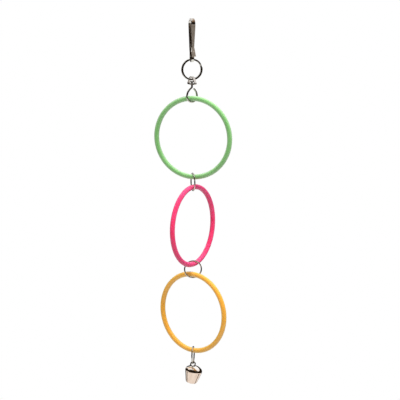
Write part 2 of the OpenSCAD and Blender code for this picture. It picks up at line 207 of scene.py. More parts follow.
def new_finish(name):
    """Starts a finish whose grain is read from the piece's own coordinates."""
    finish = bpy.data.materials.new(name)
    finish.use_nodes = True
    tree = finish.node_tree
    shader = tree.nodes["Principled BSDF"]
    where = tree.nodes.new("ShaderNodeTexCoord")
    return finish, tree, shader, where.outputs["Object"]


def grain(tree, where, scale, detail, stretch=None):
    """Noise about as coarse as 1 / scale metres, drawn out along an axis if asked."""
    if stretch:
        mapping = tree.nodes.new("ShaderNodeMapping")
        mapping.inputs["Scale"].default_value = stretch
        tree.links.new(where, mapping.inputs["Vector"])
        where = mapping.outputs["Vector"]
    noise = tree.nodes.new("ShaderNodeTexNoise")
    noise.inputs["Scale"].default_value = scale
    noise.inputs["Detail"].default_value = detail
    tree.links.new(where, noise.inputs["Vector"])
    return noise.outputs["Fac"]


def ramp(tree, fac, stops):
    node = tree.nodes.new("ShaderNodeValToRGB")
    tree.links.new(fac, node.inputs["Fac"])
    while len(node.color_ramp.elements) < len(stops):
        node.color_ramp.elements.new(0.5)
    for element, (place, colour) in zip(node.color_ramp.elements, stops):
        element.position = place
        element.color = (*colour, 1)
    return node.outputs["Color"]


def span(tree, fac, low, high):
    node = tree.nodes.new("ShaderNodeMapRange")
    node.inputs["To Min"].default_value = low
    node.inputs["To Max"].default_value = high
    tree.links.new(fac, node.inputs["Value"])
    return node.outputs["Result"]


def relief(tree, shader, height, depth, under=None):
    """Raises the surface by a height map; a finer relief may lie over another."""
    bump = tree.nodes.new("ShaderNodeBump")
    bump.inputs["Distance"].default_value = depth
    tree.links.new(height, bump.inputs["Height"])
    if under:
        tree.links.new(under, bump.inputs["Normal"])
    tree.links.new(bump.outputs["Normal"], shader.inputs["Normal"])
    return bump.outputs["Normal"]


def plated(name, bright, dull, gloss, pits, pit_depth=0.000004):
    """Plated metal: bright where it is rubbed, with a dull tarnish in soft patches."""
    finish, tree, shader, where = new_finish(name)
    shader.inputs["Metallic"].default_value = 1
    patches = grain(tree, where, 260, 4)
    tone = ramp(tree, patches, [(0.35, dull), (0.62, bright)])
    tree.links.new(tone, shader.inputs["Base Color"])
    tree.links.new(span(tree, patches, gloss[1], gloss[0]), shader.inputs["Roughness"])
    relief(tree, shader, grain(tree, where, pits, 2), pit_depth)
    return finish


def upright(angle, place=(0, 0, 0)):
    """Stands a drawing in millimetres upright at a place in metres, turned about the vertical."""
    turn = Matrix.Rotation(math.radians(angle), 4, "Z") @ Matrix.Rotation(math.radians(90), 4, "X")
    return Matrix.Translation(place) @ turn @ Matrix.Scale(MM, 4)


def line_to(bm, vert, x, y):
    end = bmesh.ops.extrude_vert_indiv(bm, verts=[vert])["verts"][0]
    end.co = (x, y, 0)
    return end


def arc_to(bm, vert, centre, degrees, steps=None):
    """Carries the pen round a centre, in steps of about ten degrees."""
    turned = bmesh.ops.spin(
        bm, geom=[vert], cent=(*centre, 0), axis=(0, 0, 1), angle=math.radians(degrees),
        steps=steps or max(1, round(abs(degrees) / 10)))
    return next(item for item in turned["geom_last"] if isinstance(item, bmesh.types.BMVert))


def touch(a, a_r, b, b_r):
    """Where a straight side touches two circles, on the right of the way from a to b."""
    along = math.atan2(b[1] - a[1], b[0] - a[0])
    angle = along - math.acos((a_r - b_r) / math.dist(a, b))
    out = Vector((math.cos(angle), math.sin(angle)))
    return Vector(a) + a_r * out, Vector(b) + b_r * out


def swing(start, end):
    """Degrees from one direction to another, counterclockwise, between -180 and 180."""
    return -math.degrees(start.angle_signed(end))


def right_side(bm, pen, circles):
    """Draws the right side of a chain of bars with round ends, up to the last circle."""
    sides = [touch(a, a_r, b, b_r) for (a, a_r), (b, b_r) in zip(circles, circles[1:])]
    for (centre, radius), (_, came), (left, _) in zip(circles[1:], sides, sides[1:]):
        came_at, left_at = came - Vector(centre), left - Vector(centre)
        turned = swing(came_at, left_at)
        if turned > 0:
            pen = arc_to(bm, line_to(bm, pen, *came), centre, turned)
        else:
            reach = radius / math.cos(math.radians(turned / 2))
            pen = line_to(bm, pen, *(Vector(centre) + (came_at + left_at).normalized() * reach))
    return line_to(bm, pen, *sides[-1][1])


def plate(bm, thick):
    """Fills the closed outline, with its holes left open, and thickens it both ways."""
    bmesh.ops.remove_doubles(bm, verts=bm.verts, dist=0.08)
    bmesh.ops.triangle_fill(bm, use_beauty=True, edges=bm.edges[:])
    bmesh.ops.dissolve_limit(
        bm, angle_limit=math.radians(0.5), verts=bm.verts[:], edges=bm.edges[:])
    raised = bmesh.ops.extrude_face_region(bm, geom=bm.faces[:])["geom"]
    raised = [item for item in raised if isinstance(item, bmesh.types.BMVert)]
    bmesh.ops.translate(bm, vec=(0, 0, thick), verts=raised)
    move(bm, (0, 0, -thick / 2))
    bmesh.ops.recalc_face_normals(bm, faces=bm.faces)


def cut_across(bm, heights):
    """Adds edges right across a plate at some heights of the drawing."""
    for height in heights:
        everything = bm.verts[:] + bm.edges[:] + bm.faces[:]
        bmesh.ops.bisect_plane(bm, geom=everything, plane_co=(0, height, 0), plane_no=(0, 1, 0))
    bmesh.ops.remove_doubles(bm, verts=bm.verts, dist=0.02)


def post(centre, radius, half, segments=48):
    """Plain round cutter through the drawing."""
    bm = bmesh.new()
    bmesh.ops.create_cone(
        bm, cap_ends=True, segments=segments, radius1=radius, radius2=radius, depth=2 * half,
        matrix=Matrix.Translation((*centre, 0)))
    return bm


def block(low, high):
    """Plain square cutter between two corners."""
    bm = bmesh.new()
    bmesh.ops.create_cube(bm, size=1)
    size = Vector(high) - Vector(low)
    bmesh.ops.scale(bm, vec=size, verts=bm.verts)
    move(bm, Vector(low) + size / 2)
    return bm


def round_off(piece, width_at):
    """Rounds the sharp edges, each as wide as a function of the edge says."""
    bm = bmesh.new()
    bm.from_mesh(piece.data)
    share = bm.edges.layers.float.new("bevel_weight_edge")
    widths = {
        edge: width_at(edge) for edge in bm.edges
        if edge.is_manifold and edge.calc_face_angle() > math.radians(40)}
    widest = max(widths.values())
    for edge, width in widths.items():
        edge[share] = width / widest
    bm.to_mesh(piece.data)
    bm.free()
    rounding = piece.modifiers.new("rounding", "BEVEL")
    rounding.width, rounding.segments, rounding.limit_method = widest, 5, "WEIGHT"
    rounding.use_clamp_overlap = False
    settle(piece)


def settle(piece):
    """Applies the piece's modifiers to its mesh."""
    graph = bpy.context.evaluated_depsgraph_get()
    mesh = bpy.data.meshes.new_from_object(piece.evaluated_get(graph))
    piece.modifiers.clear()
    piece.data = mesh


def machine(piece, tools, kind="DIFFERENCE"):
    """Cuts each tool out of the piece, or joins it on."""
    for tool in tools:
        other = put_in_scene("tool", tool, piece.data.materials[0])
        step = piece.modifiers.new("step", "BOOLEAN")
        step.operation, step.object, step.solver = kind, other, "EXACT"
        settle(piece)
        bpy.data.objects.remove(other)


def stand(piece, matrix, smooth=35):
    """Puts the piece in its place and shades it smooth where it bends by less than an angle."""
    piece.data.transform(matrix)
    piece.data.shade_smooth()
    piece.data.set_sharp_from_angle(angle=math.radians(smooth))


def hang(piece, matrix, body, slot, *nodes, smooth=35):
    """Puts the piece in its place, lets it ride on its body and hides the parts it stands for; its
    slot is not used.
    """
    stand(piece, matrix, smooth)
    facing = piece.modifiers.new("facing", "WEIGHTED_NORMAL")
    facing.keep_sharp = True
    settle(piece)
    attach(piece, body)
    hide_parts(*nodes)


def tint(tree, shader, base, share, colour):
    """Gives the shader a base colour with another mixed in by a share."""
    tones = tree.nodes.new("ShaderNodeMix")
    tones.data_type = "RGBA"
    tree.links.new(share, tones.inputs["Factor"])
    tree.links.new(base, tones.inputs["A"])
    tones.inputs["B"].default_value = (*colour, 1)
    tree.links.new(tones.outputs["Result"], shader.inputs["Base Color"])


def second_tone(finish, attribute, colour):
    """Mixes another tone into a plated finish by a value that the piece's points carry."""
    tree = finish.node_tree
    shader = tree.nodes["Principled BSDF"]
    share = tree.nodes.new("ShaderNodeAttribute")
    share.attribute_name = attribute
    base = shader.inputs["Base Color"].links[0].from_socket
    tint(tree, shader, base, share.outputs["Fac"], colour)


def fade(value, start, reach):
    """Rises from 0 at a start to 1 after a reach."""
    return min(1, max(0, (value - start) / reach))


def mark(piece, attribute, share_at):
    """Gives each point of the piece a value between 0 and 1."""
    marks = piece.data.attributes.new(attribute, "FLOAT", "POINT")
    for vert, share in zip(piece.data.vertices, marks.data):
        share.value = fade(share_at(vert.co), 0, 1)


ARCH_IN, ARCH_OUT = 3.2, 5.3
BAND_MID = (ARCH_IN + ARCH_OUT) / 2
PIN, BOSS_R, RIVET_BORE_R = (1.2, -20.0), 2.0, 0.62
EYE, EYE_R, EYE_OUT = (0.0, -30.25), 2.3, 3.5
SPINE_TOP, SPINE_MID, WAIST, NECK = (-BAND_MID, 0.0), (-3.95, -10.0), (-2.4, -19.2), (-1.3, -24.41)
SPINE_R, SPINE_MID_R, WAIST_R, NECK_R = 1.05, 1.2, 2.4, 2.3
LAP_TOP, LAP_X = 1.25, BAND_MID + 0.06
HOOK_THICK, WAIST_THICK = 3.8, 2.6
SLOT_T, SLOT_BACK, SLOT_RISE = 1.4, 1.55, 2.3
ROUND_FINE, ROUND_EVEN, ROUND_MORE = 0.2, 0.4, 0.5
# How far in from the spine's inner side and the eye's bore the painted shade fades out.
PAINTED_SHADE_REACH = 0.45
THROUGH = 3
spine = [(SPINE_TOP, SPINE_R), (SPINE_MID, SPINE_MID_R), (WAIST, WAIST_R)]
back = spine + [(NECK, NECK_R), (EYE, EYE_OUT)]
front = [(EYE, EYE_OUT), (NECK, NECK_R), (PIN, BOSS_R)] + spine[::-1]
hook_place = upright(HOOK_ANGLE - 90)


def hook_rounding(edge):
    """Even round the outline, more towards the arch's top, and fine at the lap and in corners."""
    one, other = (vert.co for vert in edge.verts)
    middle = (one + other) / 2
    reach = middle.xy.length
    if abs((one - other).normalized().z) > 0.9:
        return ROUND_FINE
    if reach > ARCH_OUT - 0.1 and middle.y > 0:
        return ROUND_EVEN + ROUND_MORE * math.degrees(math.atan2(middle.y, abs(middle.x))) / 90
    at_lap = middle.x > 2 and middle.y > -3 and reach > ARCH_IN + 0.1
    return ROUND_FINE if at_lap else ROUND_EVEN


def depth_inside(place):
    """How far a point of the spine lies behind the side that faces the gate, and 1 elsewhere."""
    sides = [touch(a, a_r, b, b_r) for (a, a_r), (b, b_r) in zip(spine[::-1], spine[-2::-1])]
    depths = [
        Vector((near.y - far.y, far.x - near.x)).normalized().dot(place.xy - near)
        for near, far in sides if near.y - 0.5 < place.y < far.y + 0.1]
    return max(depths, default=1) if place.y < -0.5 else 1


def painted_shade_inside(place):
    """Painted shade: darkens the spine's inner side and the eye's bore, where shade falls."""
    return 1 - min(depth_inside(place), math.dist(place.xy, EYE) - EYE_R) / PAINTED_SHADE_REACH


def painted_tan_reflection(place):
    """Painted reflection: a tan tone on the arch's outer shoulder, on its right-hand side, standing
    in for warm surroundings mirrored there.
    """
    lift, shoulder = fade(place.y, 0.3, 1.2), fade(place.z, 0.35, -0.7)
    return lift * shoulder * fade(place.xy.length, 4.4, 0.5)


hook_nickel = plated(
    "hook_nickel", (0.80, 0.78, 0.75), (0.66, 0.60, 0.54), gloss=(0.06, 0.13), pits=1400)
# Painted shade: a near-black tone on the spine's inner side and in the eye's bore.
second_tone(hook_nickel, "inside", (0.13, 0.10, 0.075))
# Painted reflection: a tan tone on the right shoulder of the arch.
second_tone(hook_nickel, "tan_reflection", (0.40, 0.27, 0.18))
bm = bmesh.new()
pen = arc_to(bm, bm.verts.new((ARCH_OUT, 0, 0)), (0, 0), 180, 30)
pen = right_side(bm, pen, back)
eye_left = touch(NECK, NECK_R, EYE, EYE_OUT)[1] - Vector(EYE)
eye_right = touch(EYE, EYE_OUT, NECK, NECK_R)[0] - Vector(EYE)
pen = arc_to(bm, pen, EYE, swing(eye_left, eye_right) % 360)
pen = right_side(bm, pen, front)
pen = line_to(bm, pen, -ARCH_IN, 0)
lap_angle = math.degrees(math.asin(LAP_TOP / ARCH_IN))
pen = arc_to(bm, pen, (0, 0), lap_angle - 180, 24)
pen = line_to(bm, pen, LAP_X, LAP_TOP)
pen = line_to(bm, pen, LAP_X, 0)
line_to(bm, pen, ARCH_OUT, 0)
bmesh.ops.create_circle(bm, segments=40, radius=EYE_R, matrix=Matrix.Translation((*EYE, 0)))
plate(bm, HOOK_THICK)
cut_across(bm, (0.0, BOSS_R + PIN[1]))
for vert in bm.verts:
    vert.co.z *= 1 + fade(vert.co.y, 0, BOSS_R + PIN[1]) * (WAIST_THICK / HOOK_THICK - 1)
hook = put_in_scene("hook_casting", bm, hook_nickel)
round_off(hook, hook_rounding)
machine(hook, [
    block((PIN[0] - SLOT_BACK, PIN[1] - SLOT_RISE, -SLOT_T / 2),
          (PIN[0] + THROUGH, PIN[1] + SLOT_RISE, SLOT_T / 2)),
    post(PIN, RIVET_BORE_R, THROUGH)])
mark(hook, "inside", painted_shade_inside)
mark(hook, "tan_reflection", painted_tan_reflection)
hang(hook, hook_place, "hook", "hook_nickel", "hook_body")


# Gate: a lever pressed from sheet into a channel, whose lap closes the arch's tip. A tongue
# between its cheeks turns on the rivet, and its tail flares out for the finger.
gate_steel = plated(
    "gate_steel", (0.62, 0.53, 0.44), (0.50, 0.41, 0.33), gloss=(0.26, 0.36), pits=1100)
gate_steel.node_tree.nodes["Principled BSDF"].inputs["Metallic"].default_value = 0.72
SEAM, LAP_GAP, BOSS_GAP, LAP_HIGH, SHEET = 0.25, 0.12, 0.1, 1, 0.6
GATE_R, GATE_WAIST_R, GATE_TAIL_R = (ARCH_OUT - ARCH_IN) / 2, 0.75, 0.5
GATE_TOP, GATE_MID = (BAND_MID, -SEAM - GATE_R), (3.95, -10.0)
GATE_WAIST, GATE_TAIL = (4.05, -20.0), (6.55, -27.9)
# The gate's width at three heights, and the hollow's outline between its cheeks.
GATE_WIDTHS = [(0.0, 3.8), (-20.0, 1.8), (-28.4, 3.7)]
CHANNEL = [(0, -1.1), (4.7, -1.1), (4.4, -10.0), (4.26, -17.0), (0, -17.0), (0, -1.1)]
TONGUE_R, TONGUE_T, TONGUE_BORE_R = 1.3, 1.2, 0.65
GRIP_R, GRIP_OFF, GRIPS_AT = 0.36, 0.86, (3.6, 4.6, 5.6, 6.6, 7.6)
down = [
    (GATE_TOP, GATE_R), (GATE_MID, GATE_R), (GATE_WAIST, GATE_WAIST_R), (GATE_TAIL, GATE_TAIL_R)]


def gate_width(y):
    for (top, wide), (foot, narrow) in zip(GATE_WIDTHS, GATE_WIDTHS[1:]):
        if y >= foot:
            return wide + (narrow - wide) * (min(y, top) - top) / (foot - top)
    return GATE_WIDTHS[-1][1]


def taper(bm, thick, width_at):
    """Narrows a plate across its thickness by the width at each height."""
    cut_across(bm, (0.0, GATE_WAIST[1]))
    for vert in bm.verts:
        vert.co.z *= width_at(vert.co.y) / thick


def draw(bm, corners):
    """Draws straight sides from corner to corner."""
    pen = bm.verts.new((*corners[0], 0))
    for corner in corners[1:]:
        pen = line_to(bm, pen, *corner)
    return pen


def bevel(bm, geom, width, segments, affect="EDGES"):
    """Rounds some edges or corners."""
    bmesh.ops.bevel(
        bm, geom=geom, offset=width, offset_type="OFFSET", segments=segments, profile=0.5,
        affect=affect, material=-1, clamp_overlap=affect == "EDGES")


def soften(bm, width):
    """Rounds the sharp edges of a plate."""
    edges = [e for e in bm.edges if e.is_manifold and e.calc_face_angle() > math.radians(50)]
    bevel(bm, edges, width, 3)


def clean(piece, reach):
    """Merges points that lie closer than a reach, and drops the faces that this flattens."""
    bm = bmesh.new()
    bm.from_mesh(piece.data)
    bmesh.ops.remove_doubles(bm, verts=bm.verts, dist=reach)
    bmesh.ops.dissolve_degenerate(bm, dist=reach / 2, edges=bm.edges)
    bm.to_mesh(piece.data)
    bm.free()


def ease(piece, width, sharp=40):
    """Takes the sharpness off the edges that are left."""
    clean(piece, width / 4)
    edge = piece.modifiers.new("edge", "BEVEL")
    edge.width, edge.segments, edge.limit_method = width, 2, "ANGLE"
    edge.angle_limit = math.radians(sharp)
    edge.use_clamp_overlap = True
    settle(piece)
    clean(piece, 0.002)


bm = bmesh.new()
pen = draw(bm, [
    (ARCH_OUT, -SEAM), (LAP_X - LAP_GAP, -SEAM), (LAP_X - LAP_GAP, LAP_HIGH),
    (ARCH_IN, LAP_HIGH), (ARCH_IN, GATE_TOP[1])])
pen = right_side(bm, pen, down)
tail_in = touch(GATE_WAIST, GATE_WAIST_R, GATE_TAIL, GATE_TAIL_R)[1] - Vector(GATE_TAIL)
tail_out = touch(GATE_TAIL, GATE_TAIL_R, GATE_WAIST, GATE_WAIST_R)[0] - Vector(GATE_TAIL)
pen = arc_to(bm, pen, GATE_TAIL, swing(tail_in, tail_out) % 360, 8)
pen = right_side(bm, pen, down[::-1])
line_to(bm, pen, ARCH_OUT, -SEAM)
plate(bm, HOOK_THICK)
taper(bm, HOOK_THICK, gate_width)
soften(bm, 0.28)
gate = put_in_scene("gate_channel", bm, gate_steel)

channel = bmesh.new()
draw(channel, CHANNEL)
plate(channel, HOOK_THICK)
taper(channel, HOOK_THICK, lambda y: gate_width(y) - 2 * SHEET)
tail_way = (Vector(GATE_TAIL) - Vector(GATE_WAIST)).normalized()
tail_face = Vector((-tail_way.y, tail_way.x))
grips = [Vector(GATE_WAIST) + tail_way * along + tail_face * GRIP_OFF for along in GRIPS_AT]
machine(gate, [channel, post(PIN, BOSS_R + BOSS_GAP, THROUGH)]
        + [post(grip, GRIP_R, THROUGH, 16) for grip in grips])

tongue = bmesh.new()
low_near, low_far = touch(PIN, TONGUE_R, GATE_WAIST, GATE_WAIST_R)
high_far, high_near = touch(GATE_WAIST, GATE_WAIST_R, PIN, TONGUE_R)
pen = draw(tongue, [low_near, low_far])
far_turn = swing(low_far - Vector(GATE_WAIST), high_far - Vector(GATE_WAIST)) % 360
pen = line_to(tongue, arc_to(tongue, pen, GATE_WAIST, far_turn), *high_near)
arc_to(tongue, pen, PIN, swing(high_near - Vector(PIN), low_near - Vector(PIN)) % 360)
plate(tongue, TONGUE_T)
machine(gate, [tongue], "UNION")
machine(gate, [post(PIN, TONGUE_BORE_R, THROUGH)])
ease(gate, 0.07)
hang(gate, hook_place, "gate", "gate_steel", "gate_lever")


# Rivet of the gate: soft wire of nickel plated steel through the boss and the tongue, headed
# over on both sides.
def lathe(points, steps):
    """Turns a half section about the drawing's upright axis into a closed round form."""
    bm = bmesh.new()
    draw(bm, points)
    return turn_round(bm, steps)


def turn_round(bm, steps):
    """Turns whatever has been drawn about the upright axis."""
    bmesh.ops.spin(
        bm, geom=bm.edges[:], cent=(0, 0, 0), axis=(0, 1, 0), angle=math.radians(360),
        steps=steps, use_merge=True)
    bmesh.ops.remove_doubles(bm, verts=bm.verts, dist=0.001)
    bmesh.ops.recalc_face_normals(bm, faces=bm.faces)
    return bm


wire_nickel = plated(
    "wire_nickel", (0.68, 0.65, 0.58), (0.54, 0.51, 0.44), gloss=(0.08, 0.18), pits=2200,
    pit_depth=0.000002)
HEAD = [(0, 1.68), (0.45, 1.65), (0.78, 1.55), (0.96, 1.42), (0.98, 1.30), (0.60, 1.30)]
bm = lathe(HEAD + [(x, -y) for x, y in HEAD[::-1]], 40)
rotate(bm, 90, "X")
move(bm, (*PIN, 0))
rivet = put_in_scene("gate_rivet", bm, wire_nickel)
hang(rivet, hook_place, "hook", "wire_nickel", "gate_pin")


# Leaf spring: a strip of blued spring steel. Its foot lies in the slot above the tongue, and its
# blade leans on the gate's back, which bends it when the gate is pushed in; here it is built in one
# shape that does not bend.
spring_steel = plated(
    "spring_steel", (0.45, 0.46, 0.50), (0.30, 0.30, 0.34), gloss=(0.25, 0.40), pits=3000)
LEAF_R, LEAF_W, LEAF_PARTS = 0.14, 0.9, 12
LEAF_FOOT, LEAF_BEND, LEAF_TIP = (-0.11, -17.94), (2.5, -17.94), (4.012, -12.4)
leaf_way = [(LEAF_FOOT, LEAF_R), (LEAF_BEND, LEAF_R), (LEAF_TIP, LEAF_R)]
bm = bmesh.new()
pen = draw(bm, [touch(*leaf_way[0], *leaf_way[1])[0]])
pen = right_side(bm, pen, leaf_way)
pen = arc_to(bm, pen, LEAF_TIP, 180, 4)
pen = right_side(bm, pen, leaf_way[::-1])
arc_to(bm, pen, LEAF_FOOT, 180, 4)
plate(bm, LEAF_W)
rise = LEAF_TIP[1] - LEAF_BEND[1]
cut_across(bm, [LEAF_BEND[1] + rise * part / LEAF_PARTS for part in range(1, LEAF_PARTS)])
leaf = put_in_scene("spring_leaf", bm, spring_steel)
ease(leaf, 0.04, sharp=60)
stand(leaf, hook_place)
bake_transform(leaf)
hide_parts("gate_spring")


# Split ring: two turns of flat spring wire with rounded edges. It is wound flat, and steps
# from one turn to the other at one place, between its two cut ends.
def box_middle(node):
    low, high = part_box(node)
    return (low + high) / 2


def spin_on(bm, loop, centre, degrees, steps, rise=0):
    """Carries a loop of edges round a centre, as wire is wound, and gives back its new place."""
    made = bmesh.ops.spin(
        bm, geom=loop, cent=(*centre, 0), axis=(0, 0, 1), angle=math.radians(degrees),
        steps=steps, dvec=(0, 0, rise / steps))
    return [item for item in made["geom_last"] if isinstance(item, bmesh.types.BMEdge)]


def close_end(bm, loop, chamfer):
    """Caps a cut end and takes its burr off."""
    cap = bmesh.ops.contextual_create(bm, geom=loop)["faces"]
    bmesh.ops.recalc_face_normals(bm, faces=bm.faces)
    bevel(bm, list(cap[0].edges), chamfer, 2)


SPLIT_IN, SPLIT_OUT, TURN_T, TURN_GAP, TURN_EDGE = 8.2, 9.7, 0.9, 0.45, 0.22
STEP_ANGLE, STEP_HALF, STEP_END = 34, 15, 21
bm = bmesh.new()
bmesh.ops.create_grid(bm, x_segments=1, y_segments=1, size=0.5)
bmesh.ops.delete(bm, geom=bm.faces[:], context="FACES_ONLY")
bmesh.ops.scale(bm, vec=(SPLIT_OUT - SPLIT_IN, TURN_T, 1), verts=bm.verts)
bevel(bm, bm.verts[:], TURN_EDGE, 3, affect="VERTICES")
rotate(bm, 90, "X")
move(bm, ((SPLIT_IN + SPLIT_OUT) / 2, 0, -(TURN_T + TURN_GAP) / 2))
rotate(bm, STEP_ANGLE + STEP_END, "Z")
first = bm.edges[:]
once_round = 360 - STEP_END - STEP_HALF
loop = spin_on(bm, first, (0, 0), once_round, 90)
loop = spin_on(bm, loop, (0, 0), 2 * STEP_HALF, 10, rise=TURN_T + TURN_GAP)
last = spin_on(bm, loop, (0, 0), once_round, 90)
for end in (first, last):
    close_end(bm, end, 0.12)
split = put_in_scene("split_ring_wire", bm, wire_nickel)
split_place = upright(HOOK_ANGLE, (0, 0, box_middle("split_ring").z))
hang(split, split_place, "split_ring", "wire_nickel", "split_ring")


# Swivel yoke: a strap cast in one with its base, which is thickened round the swivel's hole.
# It hangs by its arch on the flat wire of the split ring.
yoke_nickel = plated(
    "yoke_nickel", (0.76, 0.71, 0.67), (0.60, 0.55, 0.50), gloss=(0.14, 0.26), pits=1600)
YOKE_ANGLE = 38
YOKE_IN, YOKE_T, YOKE_W, YOKE_BORE_R = 2.8, 0.9, 2.6, 0.9
BASE_T, BASE_HALF, CORNER_OUT, CORNER_IN = 1.3, 5.3, 1.2, 0.5
PAD_R, PAD_EDGE = 2.4, 0.25
yoke_low, yoke_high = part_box("swivel_yoke")
yoke_leg = (yoke_high.z - yoke_low.z) / MM - YOKE_IN - YOKE_T


def yoke_loop(bm, arch, half, corner, floor):
    """Arch above, two legs that spread, and a flat foot with round corners."""
    right, left = (half - corner, floor + corner), (corner - half, floor + corner)
    chain = [((0, 0), arch), (left, corner), (right, corner), ((0, 0), arch)]
    first_side, last_side = touch(*chain[0], *chain[1]), touch(*chain[2], *chain[3])
    pen = right_side(bm, draw(bm, first_side), chain)
    arc_to(bm, pen, (0, 0), swing(last_side[1], first_side[0]) % 360)


bm = bmesh.new()
yoke_loop(bm, YOKE_IN + YOKE_T, BASE_HALF, CORNER_OUT, -yoke_leg)
yoke_loop(bm, YOKE_IN, BASE_HALF - YOKE_T, CORNER_IN, BASE_T - yoke_leg)
plate(bm, YOKE_W)
soften(bm, 0.28)
yoke = put_in_scene("swivel_yoke_strap", bm, yoke_nickel)
foot, top = -yoke_leg, BASE_T - yoke_leg
pad = lathe([
    (0, foot), (PAD_R - PAD_EDGE, foot), (PAD_R, foot + PAD_EDGE),
    (PAD_R, top - PAD_EDGE), (PAD_R - PAD_EDGE, top), (0, top)], 48)
machine(yoke, [pad], "UNION")
bore = lathe([(0, foot - 1), (YOKE_BORE_R, foot - 1), (YOKE_BORE_R, top + 1), (0, top + 1)], 40)
machine(yoke, [bore])
ease(yoke, 0.06)
yoke_place = upright(YOKE_ANGLE - 90, (0, 0, yoke_low.z + yoke_leg * MM))
hang(yoke, yoke_place, "swivel_yoke", "wire_nickel", "swivel_yoke")


# Swivel eye: one length of wire. Its upper end is headed over inside the yoke, and the rest
# is bent aside under the neck and round into a pear-shaped loop that ends at the neck.
def wire_section(bm, radius, place, segments=24):
    """Loop of edges round a wire that runs up the drawing at a place; it starts a new form."""
    stands = Matrix.Translation((*place, 0)) @ Matrix.Rotation(math.radians(90), 4, "X")
    bmesh.ops.create_circle(bm, segments=segments, radius=radius, matrix=stands)
    return bm.edges[:]


def draw_on(bm, loop, way):
    """Pulls a loop of edges straight on."""
    made = bmesh.ops.extrude_edge_only(bm, edges=loop)["geom"]
    verts = [item for item in made if isinstance(item, bmesh.types.BMVert)]
    bmesh.ops.translate(bm, vec=way, verts=verts)
    return [item for item in made if isinstance(item, bmesh.types.BMEdge)]


def swell(bm, loop, factor):
    """Widens a loop of edges about the drawing's upright axis."""
    verts = list({vert for edge in loop for vert in edge.verts})
    bmesh.ops.scale(bm, vec=(factor, 1, factor), verts=verts)


EYE_ANGLE = 30
WIRE_R, SHANK_R, HEAD_R, HEAD_H = 0.8, 0.85, 1.7, 1.0
PEAR_R, PEAR_RISE = 5.1, 7.8
PEAR_SIDE_R = (PEAR_R ** 2 + PEAR_RISE ** 2) / (2 * PEAR_R)
NECK_BEND = 1.2
END_OPEN = 14
eye_low, eye_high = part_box("swivel_eye")
eye_z = eye_low.z / MM + PEAR_R + WIRE_R
head_top = eye_high.z / MM - eye_z
side_x = PEAR_SIDE_R - PEAR_R
bend_y = math.sqrt((PEAR_SIDE_R + NECK_BEND) ** 2 - (side_x + NECK_BEND) ** 2)
bend_angle = math.degrees(math.atan2(bend_y, side_x + NECK_BEND))
# The shank's radius and height, from the top of its head down to the bend.
stations = [
    (HEAD_R - 0.35, head_top), (HEAD_R - 0.08, head_top - 0.16), (HEAD_R, head_top - 0.42),
    (HEAD_R, head_top - HEAD_H + 0.15), (HEAD_R - 0.2, head_top - HEAD_H),
    (SHANK_R, head_top - HEAD_H), (SHANK_R, bend_y + 0.5), (WIRE_R, bend_y)]

bm = bmesh.new()
top = loop = wire_section(bm, stations[0][0], (0, stations[0][1]))
for (radius, height), (wider, lower) in zip(stations, stations[1:]):
    loop = draw_on(bm, loop, (0, lower - height, 0))
    swell(bm, loop, wider / radius)
loop = spin_on(bm, loop, (-NECK_BEND, bend_y), -bend_angle, 8)
loop = spin_on(bm, loop, (side_x, 0), bend_angle, 16)
loop = spin_on(bm, loop, (0, 0), 180, 40)
side_sweep = math.degrees(math.asin(PEAR_RISE / PEAR_SIDE_R))
last = spin_on(bm, loop, (-side_x, 0), side_sweep - END_OPEN, 16)
close_end(bm, top, 0.05)
close_end(bm, last, 0.18)
swivel = put_in_scene("swivel_eye_wire", bm, wire_nickel)
hang(swivel, upright(EYE_ANGLE, (0, 0, eye_z * MM)), "swivel_eye", "wire_nickel", "swivel_eye")


# Hoops: three injection moulded rings of the same size in satin plastic. A fine flash line
# runs round each where the mould's halves met, and the colour is a little uneven.
def moulded(name, deep, plain, pale, edge, glow, shine):
    """Satin plastic: soft flow marks, fine scuffs, a faint glow and a painted sheen that pales the
    edges seen at a glancing angle.
    """
    finish, tree, shader, where = new_finish(name)
    flow = grain(tree, where, 55, 4, stretch=(1, 1, 1.6))
    body = ramp(tree, flow, [(0.30, deep), (0.52, plain), (0.78, pale)])
    # Painted sheen: the colour turns to the edge tone where the surface is seen at a glancing
    # angle.
    painted_edge_sheen = tree.nodes.new("ShaderNodeLayerWeight")
    painted_edge_sheen.inputs["Blend"].default_value = 0.4
    tint(tree, shader, body, painted_edge_sheen.outputs["Facing"], edge)
    scuffs = grain(tree, where, 900, 5, stretch=(1, 1, 0.25))
    tree.links.new(span(tree, scuffs, 0.26, 0.36), shader.inputs["Roughness"])
    shader.inputs["Specular IOR Level"].default_value = shine
    shader.inputs["Subsurface Weight"].default_value = glow
    shader.inputs["Subsurface Radius"].default_value = (1.0, 0.7, 0.5)
    shader.inputs["Subsurface Scale"].default_value = 0.0012
    shader.inputs["IOR"].default_value = 1.5
    soft = relief(tree, shader, grain(tree, where, 140, 2), 0.00001)
    relief(tree, shader, scuffs, 0.000001, under=soft)
    return finish


HOOP_R, TUBE_R, FLASH = 35.5, 2.25, 0.06
